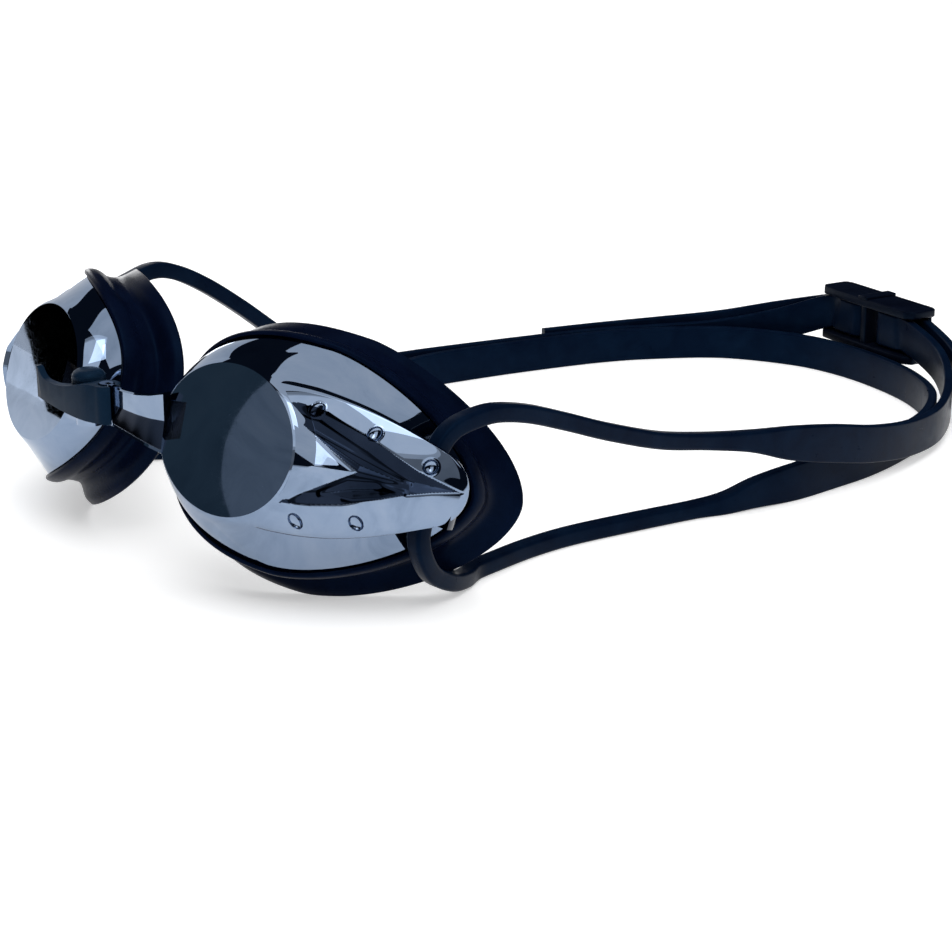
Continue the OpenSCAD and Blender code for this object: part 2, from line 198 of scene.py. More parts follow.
def prism(outline, low, high):
    """A straight extrusion of an (x, y) outline from height low to height high."""
    return skin([[(x, y, low) for x, y in outline], [(x, y, high) for x, y in outline]])


def arc(centre, r, start, stop, count):
    """Points on an arc from one angle to another, in degrees, both ends included."""
    return [(centre[0] + r * cd(a), centre[1] + r * sd(a)) for a in np.linspace(start, stop, count)]


def circle(centre, r, count):
    return arc(centre, r, 0, 360, count + 1)[:-1]


def rectangle(x0, y0, x1, y1):
    return [(x0, y0), (x1, y0), (x1, y1), (x0, y1)]


def bevel(obj, width):
    """Rounds an object's edges that turn more than 35 degrees; width in millimetres."""
    mod = obj.modifiers.new("round", "BEVEL")
    mod.width = width * MM
    mod.segments = 3
    mod.limit_method = "ANGLE"
    mod.angle_limit = math.radians(35)
    apply_modifiers(obj)
    finish_mesh(obj)


def apply_modifiers(obj):
    """Replaces an object's mesh by the one that its modifiers make."""
    bpy.context.view_layer.update()
    graph = bpy.context.evaluated_depsgraph_get()
    mesh = bpy.data.meshes.new_from_object(obj.evaluated_get(graph))
    old = obj.data
    obj.modifiers.clear()
    obj.data = mesh
    bpy.data.meshes.remove(old)


def cut(obj, tool_mesh, operation="DIFFERENCE", slot_index=0):
    """Boolean of an object with (vertices, faces) in millimetres, applied; new faces take the slot."""
    tool = bpy.data.objects.new("tool", bpy.data.meshes.new("tool"))
    points = np.asarray(tool_mesh[0], float) * MM
    tool.data.from_pydata(points.tolist(), [], [tuple(f) for f in tool_mesh[1]])
    bpy.context.scene.collection.objects.link(tool)
    finish_mesh(tool)
    for m in obj.data.materials:
        tool.data.materials.append(m)
    for polygon in tool.data.polygons:
        polygon.material_index = slot_index
    mod = obj.modifiers.new("cut", "BOOLEAN")
    mod.operation = operation
    mod.solver = "EXACT"
    mod.object = tool
    apply_modifiers(obj)
    bpy.data.objects.remove(tool)


# ---------------------------------------------------------------- materials
def new_material(name, **values):
    """A material with some inputs of its shader set, with its node tree and the shader."""
    m = bpy.data.materials.new(name)
    m.use_nodes = True
    shader = m.node_tree.nodes["Principled BSDF"]
    for key, value in values.items():
        socket = shader.inputs[key.replace("_", " ")]
        socket.default_value = (*value, 1) if isinstance(value, tuple) else value
    return m, m.node_tree, shader


def object_coordinates(tree, scale=(1, 1, 1)):
    """The object's own coordinates, scaled."""
    coordinates = tree.nodes.new("ShaderNodeTexCoord")
    mapping = tree.nodes.new("ShaderNodeMapping")
    mapping.inputs["Scale"].default_value = scale
    tree.links.new(coordinates.outputs["Object"], mapping.inputs["Vector"])
    return mapping.outputs["Vector"]


def ramp(tree, source, stops):
    """A colour ramp of (position, colour) stops fed by a value."""
    node = tree.nodes.new("ShaderNodeValToRGB")
    elements = node.color_ramp.elements
    while len(elements) < len(stops):
        elements.new(0.5)
    for element, (position, colour) in zip(elements, stops):
        element.position = position
        element.color = (*colour, 1)
    tree.links.new(source, node.inputs["Fac"])
    return node.outputs["Color"]


def noise(tree, vector, scale, detail=3, roughness=0.5, distortion=0.0):
    """A noise pattern over the vector, as one value."""
    node = tree.nodes.new("ShaderNodeTexNoise")
    values = {"Scale": scale, "Detail": detail, "Roughness": roughness, "Distortion": distortion}
    for key, value in values.items():
        node.inputs[key].default_value = value
    tree.links.new(vector, node.inputs["Vector"])
    return node.outputs["Fac"]


def bump(tree, shader, height, strength, distance):
    """Bumps on a shader's surface; distance in metres."""
    node = tree.nodes.new("ShaderNodeBump")
    node.inputs["Strength"].default_value = strength
    node.inputs["Distance"].default_value = distance
    tree.links.new(height, node.inputs["Height"])
    tree.links.new(node.outputs["Normal"], shader.inputs["Normal"])


def grey(value):
    return (value, value, value)


def tint_and_roughness(tree, shader, tint_noise, tints, rough_noise, roughs):
    """Base colour and roughness from two noise patterns, each through a ramp."""
    tree.links.new(ramp(tree, tint_noise, tints), shader.inputs["Base Color"])
    levels = [(position, grey(value)) for position, value in roughs]
    tree.links.new(ramp(tree, rough_noise, levels), shader.inputs["Roughness"])


def mirror_coating():
    """Blue mirror film with faint smudges and wipe marks."""
    m, tree, shader = new_material("mirror_coating", Metallic=1.0, IOR=1.6)
    vector = object_coordinates(tree)
    wide = noise(tree, vector, 75, 5, 0.62, 1.2)
    blues = [(0.3, (0.155, 0.21, 0.305)), (0.5, (0.20, 0.262, 0.37)), (0.72, (0.235, 0.295, 0.40))]
    smear = noise(tree, object_coordinates(tree, (1, 0.35, 2.2)), 420, 5, 0.65, 2.5)
    tint_and_roughness(tree, shader, wide, blues, smear, [(0.45, 0.012), (0.64, 0.03), (0.85, 0.11)])
    bump(tree, shader, noise(tree, vector, 60, 2, 0.4), 0.025, 0.0004)
    return m


def mirror_painted_shade():
    """Mirror painted almost black as shade, for the arm's groove floors, the sheet behind the arm and the
    nasal arm's lower face, which look black.
    """
    m, tree, shader = new_material("mirror_painted_shade", Metallic=1.0)
    vector = object_coordinates(tree)
    blacks = [(0.3, (0.006, 0.010, 0.020)), (0.8, (0.016, 0.024, 0.044))]
    tint_and_roughness(tree, shader, noise(tree, vector, 90, 3), blacks,
                       noise(tree, vector, 420, 4), [(0.3, 0.05), (0.8, 0.12)])
    bump(tree, shader, noise(tree, vector, 150, 2), 0.05, 0.0002)
    return m


def smoked_plastic_and_recess_shade():
    """The lens's dark body, seen on its inside; on the cut walls of the nasal recess it stands in as
    painted shade. It lets no light through here.
    """
    m, tree, shader = new_material("smoked_plastic_and_recess_shade", IOR=1.55)
    vector = object_coordinates(tree)
    blacks = [(0.3, (0.004, 0.006, 0.012)), (0.8, (0.010, 0.014, 0.026))]
    tint_and_roughness(tree, shader, noise(tree, vector, 120, 3), blacks,
                       noise(tree, vector, 700, 4), [(0.3, 0.06), (0.8, 0.14)])
    bump(tree, shader, noise(tree, vector, 150, 2), 0.1, 0.0002)
    return m


def silicone(name, low, high, rough_low, rough_high, grain):
    """Soft moulded silicone: dark, with an uneven sheen and a fine grain."""
    m, tree, shader = new_material(name, IOR=1.25, Specular_IOR_Level=0.16, Specular_Tint=(0.14, 0.45, 1.0))
    vector = object_coordinates(tree)
    tint_and_roughness(tree, shader, noise(tree, vector, 140, 4, 0.6, 0.4), [(0.25, low), (0.8, high)],
                       noise(tree, vector, 260, 5, 0.7, 0.8), [(0.3, rough_low), (0.75, rough_high)])
    bump(tree, shader, noise(tree, vector, grain, 4, 0.7), 0.18, 0.00006)
    return m


def satin_plastic(name, low, high):
    """Moulded plastic with a fine spark-eroded grain."""
    m, tree, shader = new_material(name, IOR=1.5, Specular_IOR_Level=0.07, Specular_Tint=(0.2, 0.55, 1.0))
    vector = object_coordinates(tree)
    tint_and_roughness(tree, shader, noise(tree, vector, 180, 4, 0.55), [(0.3, low), (0.8, high)],
                       noise(tree, vector, 900, 4, 0.6), [(0.3, 0.28), (0.8, 0.44)])
    bump(tree, shader, noise(tree, vector, 3800, 3, 0.7), 0.25, 0.00005)
    return m


def pale_floor():
    """The table: pale, and glowing a little so that it stays almost white under the object's shadow."""
    m, tree, shader = new_material("pale_floor", Base_Color=grey(0.86), Roughness=0.6,
                                   Emission_Color=grey(1.0), Emission_Strength=FLOOR_GLOW)
    vector = object_coordinates(tree)
    tint = ramp(tree, noise(tree, vector, 6, 2), [(0.2, grey(0.85)), (0.8, grey(0.88))])
    tree.links.new(tint, shader.inputs["Base Color"])
    return m


FLOOR_GLOW = 0.42
MIRROR = mirror_coating()
# Almost black mirror: painted shade on the grooves, the sheet behind the arm and the nasal arm's lower
# face.
PAINTED_SHADE_MIRROR = mirror_painted_shade()
SMOKED_AND_RECESS_SHADE = smoked_plastic_and_recess_shade()
GASKET = silicone("gasket_silicone", (0.001, 0.002, 0.008), (0.002, 0.005, 0.018), 0.24, 0.38, 2600)
STRAP = silicone("strap_silicone", (0.001, 0.003, 0.011), (0.0025, 0.0085, 0.023), 0.26, 0.40, 2200)
BRIDGE = satin_plastic("bridge_plastic", (0.003, 0.010, 0.024), (0.006, 0.017, 0.036))
CLIP = satin_plastic("clip_plastic", (0.0012, 0.002, 0.006), (0.003, 0.005, 0.012))

# ---------------------------------------------------------------- eyecup shape, in the eyecup's own frame
# x runs to the temple, y up and z out of the window; angles go round the window from x.
CUP_TURN = np.array(
    Matrix.Rotation(math.radians(CUP_YAW), 3, "Z")
    @ Matrix.Rotation(math.radians(90 - CUP_PITCH), 3, "X")
    @ Matrix.Rotation(math.radians(-CUP_ROLL), 3, "Z")
)
CUP_AT = np.array([CUP_X, 0.0, CUP_Z])
AROUND = 224
ANGLES = [360 * (i + 0.5) / AROUND for i in range(AROUND)]
CENTRE_R = 0.02


def to_goggles(points):
    """From the eyecup's own frame to the goggles' frame, on the wearer's left."""
    return np.asarray(points, float) @ CUP_TURN.T + CUP_AT


def signed_power(v, p):
    return math.copysign(abs(v) ** p, v) if v else 0.0


def rim_xy(a):
    """The rim seen straight on: a rounded oval, more pointed at the temple than at the nose."""
    c, s = cd(a), sd(a)
    power = 2 / (POWER_TEMPLE if c > 0 else POWER_NASAL)
    return np.array([
        RIM_X + (RIM_TEMPLE if c > 0 else RIM_NASAL) * signed_power(c, power),
        RIM_Y + (RIM_UP if s > 0 else RIM_DOWN) * signed_power(s, power)])


def rim_depth(x):
    """The rim wraps back round the face."""
    return RIM_Z - RIM_WRAP * (x - RIM_WRAP_X) ** 2


def rim_out(a):
    """Outward direction of the rim in the window's plane."""
    d = rim_xy(a + 1.5) - rim_xy(a - 1.5)
    return unit([d[1], -d[0]])


def rim_point(a, r, d):
    """A point r outside the rim and d behind it."""
    p, o = rim_xy(a), rim_out(a)
    return np.array([p[0] + r * o[0], p[1] + r * o[1], rim_depth(p[0]) - d])


def window_point(a, inset, z):
    """A point inside the window's oval edge, at height z."""
    return np.array([(WINDOW_W - inset) * cd(a), (WINDOW_H - inset) * sd(a), z])


def wall_point(a, t, inset):
    """A point on the wall, from the window's edge at t = 0 to the rim at t = 1."""
    w, r, o = window_point(a, inset, -BEVEL), rim_point(a, -inset, 0), rim_out(a)
    s = RIM_BULGE * sd(180 * t)
    return w + (r - w) * t + np.array([s * o[0], s * o[1], 0])


def shell_mesh():
    """The cup's hard shell: window, bevel, wall, lip and the inside of all of them."""
    rings = [[np.array([CENTRE_R * cd(a), CENTRE_R * sd(a), 0.0]) for a in ANGLES]]
    for k in (0.25, 0.5, 0.75, 0.92):
        rings.append([window_point(a, BEVEL, 0) * np.array([k, k, 1]) for a in ANGLES])
    rings.append([window_point(a, BEVEL, 0) for a in ANGLES])
    rings.append([window_point(a, BEVEL * 0.93, -0.03) for a in ANGLES])
    rings.append([window_point(a, 0.12, -BEVEL * 0.88) for a in ANGLES])
    rings.append([window_point(a, 0, -BEVEL) for a in ANGLES])
    outer = np.linspace(0, 1, 15)[1:]
    rings += [[wall_point(a, t, 0) for a in ANGLES] for t in outer]
    rings.append([rim_point(a, 0, LIP * 0.5) for a in ANGLES])
    rings.append([rim_point(a, 0, LIP) for a in ANGLES])
    rings.append([rim_point(a, -WALL, LIP) for a in ANGLES])
    inner_start = len(rings) - 1
    rings += [[wall_point(a, t, WALL) for a in ANGLES] for t in (0.85, 0.7, 0.5, 0.35, 0.15)]
    back = -WINDOW_THICK - 0.6
    rings.append([window_point(a, WALL, back) for a in ANGLES])
    rings.append([window_point(a, WALL, back) * np.array([0.5, 0.5, 1]) for a in ANGLES])
    rings.append([np.array([CENTRE_R * cd(a), CENTRE_R * sd(a), back]) for a in ANGLES])
    vertices, faces = skin(rings)
    # Slot 1 from the lip's inner edge on; the last two faces are the front and the inner cap.
    slots = [1 if i >= inner_start * AROUND else 0 for i in range((len(rings) - 1) * AROUND)] + [0, 1]
    return vertices, faces, slots


# ---- strap arm: s runs along it from 0 to 1, and v across it from -1 at the bottom to 1 at the top ----
ARM_NORMAL = np.array([math.sin(ARM_SWEEP), 0, math.cos(ARM_SWEEP)])


def arm_frame(along, up, out):
    """From the arm's own frame, which sweeps back at the arm's root, to the eyecup's."""
    c, s = math.cos(ARM_SWEEP), math.sin(ARM_SWEEP)
    return np.array([ARM_ROOT_X + along * c + out * s, up, ARM_ROOT_Z - along * s + out * c])


def arm_mid(s, v):
    """A point on the arm's mid plane."""
    a = ARM_DOWN + (ARM_UP - ARM_DOWN) * (v + 1) / 2
    b = (ARM_TIP_UP if v > 0 else ARM_TIP_DOWN) * v
    root = window_point(a, 0.6, ARM_ROOT_Z)
    tip = arm_frame(ARM_REACH + ARM_TIP_R * cd(b), ARM_TIP_Y + ARM_TIP_R * sd(b), 0)
    bow = v * (ARM_BOW_UP if v > 0 else ARM_BOW_DOWN) * sd(180 * s)
    return root + (tip - root) * s + np.array([0, bow, 0])


def arm_flat(s, v):
    """Place on the arm as flat millimetres: along the sweep and across it."""
    p = arm_mid(s, v)
    return np.array([(p[0] - ARM_ROOT_X) / math.cos(ARM_SWEEP), p[1]])


def outline(points):
    """A polygon on the arm's face, in flat millimetres, from places (s, v)."""
    return np.array([arm_flat(s, v) for s, v in points])


def inside_distance(polygon, x, y):
    """Signed distance to a polygon, positive inside."""
    best = np.full(x.shape, 1e9)
    inside = np.zeros(x.shape, bool)
    count = len(polygon)
    for i in range(count):
        ax, ay = polygon[i]
        bx, by = polygon[(i + 1) % count]
        dx, dy = bx - ax, by - ay
        t = np.clip(((x - ax) * dx + (y - ay) * dy) / (dx * dx + dy * dy), 0, 1)
        best = np.minimum(best, np.hypot(x - ax - t * dx, y - ay - t * dy))
        crosses = ((ay > y) != (by > y)) & (x < (bx - ax) * (y - ay) / (by - ay + 1e-12) + ax)
        inside ^= crosses
    return np.where(inside, best, -best)


# Outlines on the arm's face as (s, v): a valley, a wedge that stands in it, and two pockets.
VALLEY = outline([(-0.05, 0.66), (0.10, 0.72), (0.25, 0.70), (0.485, 0.50), (0.71, 0.29), (0.985, 0.12),
                  (0.97, 0.08), (0.80, -0.02), (0.65, -0.11), (0.50, -0.22), (0.36, -0.31), (0.20, -0.37),
                  (0.05, -0.40), (-0.05, -0.40)])
WEDGE = outline([(-0.05, 0.47), (0.035, 0.45), (0.35, 0.085), (0.06, -0.30), (-0.05, -0.34)])
UPPER_POCKET = outline([(0.055, 0.43), (0.66, 0.062), (0.36, 0.10)])
LOWER_POCKET = outline([(0.205, -0.19), (0.32, -0.02), (0.47, 0.01), (0.64, -0.05), (0.53, -0.145),
                        (0.386, -0.20)])
DIMPLES = [(0.17, 0.65), (0.48, 0.56), (0.78, 0.37), (0.21, -0.59), (0.50, -0.52)]
DIMPLE_R, DIMPLE_DEEP, DIMPLE_LIP = 1.35, 0.95, 0.05
VALLEY_DEEP, VALLEY_SLOPE = 1.25, 3.0
WEDGE_HIGH, WEDGE_SLOPE = 1.35, 3.6
POCKET_DEEP, POCKET_SLOPE, POCKET_LIP = 0.55, 1.7, 0.12
ARM_CROWN = 0.9
# Where the arm's sides and its tip start to round over, over what share of the arm, and by how much.
SIDE_FROM, SIDE_WIDE, SIDE_DROP = 0.90, 0.10, 0.8
TIP_FROM, TIP_WIDE, TIP_DROP = 0.955, 0.045, 0.7
# A quarter circle cut off just before it stands upright.
ROUND_LIMIT = 0.995
# Rows along the arm and columns across it, and how many of them are at the tip and at each side.
ARM_ROWS, ARM_COLS = 260, 200
TIP_ROWS, SIDE_COLS = 16, 10
TIP_ROWS_FROM = 0.94


def arm_heights(s, v, x, y):
    """Height of the arm's face above its mid plane, for arrays of places."""
    h = ARM_CROWN * np.sin(math.pi * np.clip(s, 0, 1))
    side_round = np.clip((np.abs(v) - SIDE_FROM) / SIDE_WIDE, 0, 1)
    h = h - SIDE_DROP * (1 - np.sqrt(1 - side_round ** 2 * ROUND_LIMIT))
    tip_round = np.clip((s - TIP_FROM) / TIP_WIDE, 0, 1)
    h = h - TIP_DROP * (1 - np.sqrt(1 - tip_round ** 2 * ROUND_LIMIT))
    valley = inside_distance(VALLEY, x, y)
    h = h - VALLEY_DEEP * smooth(valley / VALLEY_SLOPE) * np.clip(s * 9, 0, 1)
    wedge = inside_distance(WEDGE, x, y)
    h = h + WEDGE_HIGH * np.clip(wedge / WEDGE_SLOPE, 0, 1)
    for pocket in (UPPER_POCKET, LOWER_POCKET):
        d = inside_distance(pocket, x, y)
        h = h + POCKET_LIP * np.exp(-((d + 0.1) / 0.42) ** 2)
        h = h - POCKET_DEEP * smooth((d - 0.05) / POCKET_SLOPE)
    for place in DIMPLES:
        cx, cy = arm_flat(*place)
        r = np.hypot(x - cx, y - cy) / DIMPLE_R
        bowl = DIMPLE_DEEP * np.sqrt(np.clip(1 - r ** 2, 0, 1))
        h = h - bowl + DIMPLE_LIP * np.exp(-((r - 1.08) / 0.12) ** 2)
    return h


def groove_shade_places(x, y):
    """Where the arm's top is painted with shade in the almost black mirror: the floors of its grooves and
    of its lower pocket.
    """
    valley = (inside_distance(VALLEY, x, y) > 0.45) & (inside_distance(WEDGE, x, y) < -0.15)
    pocket = inside_distance(LOWER_POCKET, x, y) > 0.5
    return valley | pocket


def arm_mesh():
    """The strap arm as a closed plate with its ridges, pockets and dimples."""
    s_list = np.concatenate([np.linspace(0, TIP_ROWS_FROM, ARM_ROWS - TIP_ROWS, endpoint=False),
                             np.linspace(TIP_ROWS_FROM, 1, TIP_ROWS)])
    v_list = np.concatenate([np.linspace(-1, -SIDE_FROM, SIDE_COLS, endpoint=False),
                             np.linspace(-SIDE_FROM, SIDE_FROM, ARM_COLS - 2 * SIDE_COLS),
                             np.linspace(SIDE_FROM, 1, SIDE_COLS + 1)[1:]])
    s, v = np.meshgrid(s_list, v_list, indexing="ij")
    mid = np.array([[arm_mid(a, b) for b in v_list] for a in s_list])
    x = (mid[..., 0] - ARM_ROOT_X) / math.cos(ARM_SWEEP)
    h = arm_heights(s, v, x, mid[..., 1])
    top = mid + h[..., None] * ARM_NORMAL
    crown = ARM_CROWN * np.sin(math.pi * s)
    # Thicker towards the root, so that the arm meets the shell's wall.
    thick = ARM_THICK + 2.2 * np.clip(1 - s / 0.55, 0, 1) ** 1.5
    back = mid + (crown - thick)[..., None] * ARM_NORMAL
    vertices, faces = grid_plate([list(r) for r in top], [list(r) for r in back])
    groove_shade = groove_shade_places(x, mid[..., 1])
    # grid_plate's first faces are the top's and the back's in turn.
    slots = np.zeros(len(faces), int)
    count = (len(s_list) - 1) * (len(v_list) - 1)
    # The top's faces on the groove floors take the almost black mirror: painted shade.
    slots[0:2 * count:2] = groove_shade[:-1, :-1].ravel()
    return vertices, faces, slots


WEB_OUTLINE = [(37.6, -16.6), (39.8, -17.4), (39.6, -19.2), (37.6, -22.4), (34.8, -26.2), (32, -29),
               (30, -30), (28.2, -27.8), (30.6, -26.4), (33, -23.8), (36, -20.4)]
WEB_LOW, WEB_HIGH = -2.6, 7.0


def web_mesh():
    """Sheet that closes the slot behind the arm."""
    return skin([[np.array([x, y, z]) for x, z in WEB_OUTLINE] for y in (WEB_LOW, WEB_HIGH)])


NOTCH = [(-18.6, 1.9), (-11.3, 3.5), (-10.4, -3.1), (-14.9, -5.0), (-19.2, -3.6)]
NOTCH_DEEP = 1.25


def nasal_notch():
    """Tool that cuts the recess at the window's nasal edge."""
    return skin([[np.array([x, y, z]) for x, y in NOTCH] for z in (-NOTCH_DEEP, 2.0)])


# ---- the eyecups' parts at the bridge, in the goggles' frame ----
# Nasal arm of the left eyecup as (x, front, back, low, high), the last two above the bridge's underside.
NASAL_START, NASAL_END = LEFT_PIVOT[0] + SOCKET_R + GAP, 16.5
NASAL_ARM = [(NASAL_START, -4.6, -3.0, -0.4, 7.2), (4.6, -4.9, -3.1, -0.6, 7.3), (9, -5.1, -3.2, -1.0, 7.7),
             (13, -4.9, -2.9, -1.6, 8.4), (NASAL_END, -4.3, -1.6, -2.2, 9.3)]
NASAL_RINGS, NASAL_RING_POINTS = 24, 10
# The sides of each ring that make the leaning lower face, which is painted with shade in the almost black
# mirror.
NASAL_LEANING = (3, 4, 5)


def between(table, x):
    """Straight-line reading of a table of rows at x."""
    table = np.array(table, float)
    return [np.interp(x, table[:, 0], table[:, k]) for k in range(1, table.shape[1])]


def nasal_arm_mesh():
    """Arm from the left eyecup to the bridge: upright upper face, leaning lower face and a foot rim."""
    rings = []
    for x in np.linspace(NASAL_START, NASAL_END, NASAL_RINGS):
        front, back, low, high = between(NASAL_ARM, x)
        low, high = low + BRIDGE_Z, high + BRIDGE_Z
        tall = high - low
        rings.append([np.array((x, y, z)) for y, z in (
            (back, low + 0.2), (front + 0.3, low), (front - 0.05, low + 0.25), (front + 0.12, low + 0.75),
            (front + 0.02, low + 0.9), (front + 0.95, low + 0.5 * tall), (front + 1.0, low + 0.54 * tall),
            (front + 1.0, high - 0.3), (front + 1.2, high), (back, high))])
    return skin(rings)


def nasal_shade_faces():
    """Indices of nasal_arm_mesh's faces that make its leaning lower face, which is painted with shade."""
    return [row * NASAL_RING_POINTS + side for row in range(NASAL_RINGS - 1) for side in NASAL_LEANING]


def trunnion_mesh():
    """Upright pivot at the end of the left nasal arm, with the neck that joins the two."""
    low, high = BRIDGE_Z - 0.4, BRIDGE_Z + BRIDGE_H + 0.2
    x0, y0 = LEFT_PIVOT
    neck = rectangle(x0, y0 - 0.45, x0 + SOCKET_R + GAP + 0.6, y0 + 0.45)
    return merge(prism(circle(LEFT_PIVOT, TRUNNION_R, 40), low, high), prism(neck, low, high))


def nasal_lug_mesh():
    """Lug and pin of the right eyecup, under and inside the bridge's barrel."""
    low, top = BRIDGE_Z - GAP - 2, BRIDGE_Z - GAP
    x0, y0 = RIGHT_PIVOT
    foot = rectangle(x0 - 6.4, y0 - 1.6, x0, y0 + 1.8)
    return merge(
        prism(circle(RIGHT_PIVOT, PIN_R, 40), low, low + PIN_LONG),
        prism(circle(RIGHT_PIVOT, BARREL_R - 0.4, 48), low, top),
        prism(foot, low, top))


def set_slots(obj, slots):
    """Material slots of an object's faces, in their order."""
    for polygon, slot_index in zip(obj.data.polygons, slots):
        polygon.material_index = int(slot_index)


def build_lens(side, nasal_part, shaded=()):
    """One eyecup's hard lens; shaded lists the faces of its part at the bridge that are painted almost
    black as shade.
    """
    mirrored = side == "right"
    body = f"{side}_cup"
    vertices, faces, slots = shell_mesh()
    coated = [MIRROR, SMOKED_AND_RECESS_SHADE]
    shell = make_object(f"{side}_lens_shell", to_goggles(vertices), faces, coated, body, 25, mirrored)
    set_slots(shell, slots)
    notch = nasal_notch()
    points = to_goggles(notch[0])
    if mirrored:
        points = points * FLIP_X
    # The recess's cut walls and floor take the smoked plastic: painted shade in the recess.
    cut(shell, (points, notch[1]), slot_index=1)
    finish_mesh(shell, 25)
    arm_vertices, arm_faces, arm_slots = arm_mesh()
    web = web_mesh()
    vertices, faces = merge((arm_vertices, arm_faces), web)
    mirrors = [MIRROR, PAINTED_SHADE_MIRROR]
    arm = make_object(f"{side}_lens_arm", to_goggles(vertices), faces, mirrors, body, 40, mirrored)
    # The sheet behind the arm takes the almost black mirror all over: painted shade in the slot behind the
    # arm.
    set_slots(arm, list(arm_slots) + [1] * len(web[1]))
    nasal = make_object(f"{side}_lens_pivot", nasal_part[0], nasal_part[1], mirrors, body, 28)
    # Painted shade: these faces take the almost black mirror.
    for index in shaded:
        nasal.data.polygons[index].material_index = 1
    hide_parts(f"{side}_lens")


# ---------------------------------------------------------------- gasket
def spline_point(a, b, c, d, t):
    """Catmull-Rom point from b at t = 0 to c at t = 1, between a and d."""
    square, cube = 2 * a - 5 * b + 4 * c - d, 3 * b - a - 3 * c + d
    return 0.5 * (2 * b + (c - a) * t + square * t ** 2 + cube * t ** 3)


def closed_spline(points, steps):
    """Closed Catmull-Rom curve through points; a point given twice is a corner."""
    n = len(points)
    curve = []
    for i in range(n):
        a, b, c, d = (np.asarray(points[(i + k) % n], float) for k in (-1, 0, 1, 2))
        if np.allclose(b, c):
            curve.append(b)
            continue
        a = b if np.allclose(a, b) else a
        d = c if np.allclose(c, d) else d
        curve += [spline_point(a, b, c, d, t) for t in np.linspace(0, 1, steps, endpoint=False)]
    return curve


def gasket_profile(a):
    """The gasket's section as (outside the rim, behind the rim)."""
    r = SKIRT_FLARE - 1.1 * cd(a) + 0.4 * cd(2 * a) - 0.8 * sd(a)
    d = SKIRT_DEPTH + 0.8 * cd(a)
    bead = [(0.06, -0.7), (0.7, -0.6), (1.05, 0.3), (1.1, 1.8), (0.75, 3.0)]
    waist = [(0.25, 4.2), (0.25, 5.8), (0.7, 7.2)]
    skirt = [(r - 1.2, d - 1.6), (r - 0.1, d - 0.15), (r, d + 0.25), (r - 0.3, d + 0.6), (r - 1.3, d + 0.2)]
    inside = [(-0.6, 8.2), (-1.6, 5.6)]
    groove = [(-WALL - 0.2, LIP + 0.06)] * 2 + [(0.06, LIP + 0.06)] * 2 + [(0.06, -0.7)]
    return closed_spline(bead + waist + skirt + inside + groove, 5)


def build_gasket(side):
    """One gasket, swept round the rim."""
    rings = [[rim_point(a, q[0], q[1]) for q in gasket_profile(a)] for a in ANGLES]
    vertices, faces = skin(rings, closed_loop=True)
    name, body, mirrored = f"{side}_gasket_seal", f"{side}_cup", side == "right"
    gasket = make_object(name, to_goggles(vertices), faces, [GASKET], body, 50, mirrored)
    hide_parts(f"{side}_gasket")


# ---------------------------------------------------------------- nose bridge
# The plate from above, its front edge and then its back edge; PLATE_FRONT is its outline from the front.
PLATE = [(-21.6, -5.3), (-21.5, -6.2), (-20.9, -6.7), (-19, -6.9), (-16, -7.1), (-13, -7.18), (-10, -7.2),
         (-7, -7.05), (-4, -6.8), (-2.2, -6.35)]
PLATE_BACK = [(-1.5, -6.2), (-3.4, -3.6), (-5.6, -2.2), (-9.4, -1.4), (-12.4, -4.6), (-14, -5.5),
              (-17, -5.7), (-20, -5.4)]
PLATE_FRONT = [(-1, 0), (-1, 0), (-1, 7.3), (-1, 7.3), (-3.4, 7.3), (-7, 6.5), (-10, 5.7), (-13.5, 5.2),
               (-17, 5.3), (-19, 5.9), (-20.6, 7.3), (-22, 7.3), (-22, 7.3), (-22, 1.4), (-22, 1.4),
               (-14, 0.6), (-6, 0)]


def front_tool():
    """The plate's outline from the front, run from before it to behind it."""
    edge = closed_spline(PLATE_FRONT, 5)
    return skin([[(x, y, BRIDGE_Z + z) for x, z in edge] for y in (-9.0, -1.0)])


def build_bridge():
    """Front plate, an open socket for the left pivot, and a domed barrel with a bore for the right pin."""
    top = BRIDGE_Z + BRIDGE_H
    vertices, faces = prism(PLATE + PLATE_BACK, BRIDGE_Z, top)
    bridge = make_object("nose_bridge_body", vertices, faces, [BRIDGE], "bridge", 30)
    cut(bridge, front_tool(), "INTERSECT")
    cut(bridge, prism(circle(LEFT_PIVOT, SOCKET_R, 48), BRIDGE_Z, top), "UNION")
    cut(bridge, prism(circle(RIGHT_PIVOT, BARREL_R, 48), BRIDGE_Z, top), "UNION")
    cut(bridge, prism(circle(RIGHT_PIVOT, PIN_R + GAP, 40), BRIDGE_Z - 1, BRIDGE_Z + BORE_DEEP))
    socket = arc(LEFT_PIVOT, TRUNNION_R + GAP, 32, 328, 34)
    mouth = [(LEFT_PIVOT[0] + 4, LEFT_PIVOT[1] - 0.85), (LEFT_PIVOT[0] + 4, LEFT_PIVOT[1] + 0.85)]
    cut(bridge, prism(socket + mouth, BRIDGE_Z - 1, top + 2))
    bevel(bridge, 0.32)
    dome = ((BARREL_R, BRIDGE_Z + 2.5), (BARREL_R, top - 0.6), (BARREL_R - 0.06, top - 0.1),
            (BARREL_R - 0.35, top + 0.5), (BARREL_R - 0.9, top + 0.9), (BARREL_R - 1.7, top + 1.08),
            (0.3, top + 1.1))
    vertices, faces = skin([[(x, y, z) for x, y in circle(RIGHT_PIVOT, r, 48)] for r, z in dome])
    barrel = make_object("nose_bridge_barrel", vertices, faces, [BRIDGE], "bridge", 40)
    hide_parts("nose_bridge")


# ---------------------------------------------------------------- strap
# The route's rows are the centre's x, y and z, then half the thickness and half the height of the section.
# A strand that lies on the table has its centre at height W, and a band that stands on it at height H.
W, T, H = STRAND, BAND_T, BAND_H


def strand(*centres):
    """Rows of a square strand."""
    return [(x, y, z, W, W) for x, y, z in centres]


def band(*centres):
    """Rows of the flat band, standing on edge."""
    return [(x, y, z, T, H) for x, y, z in centres]


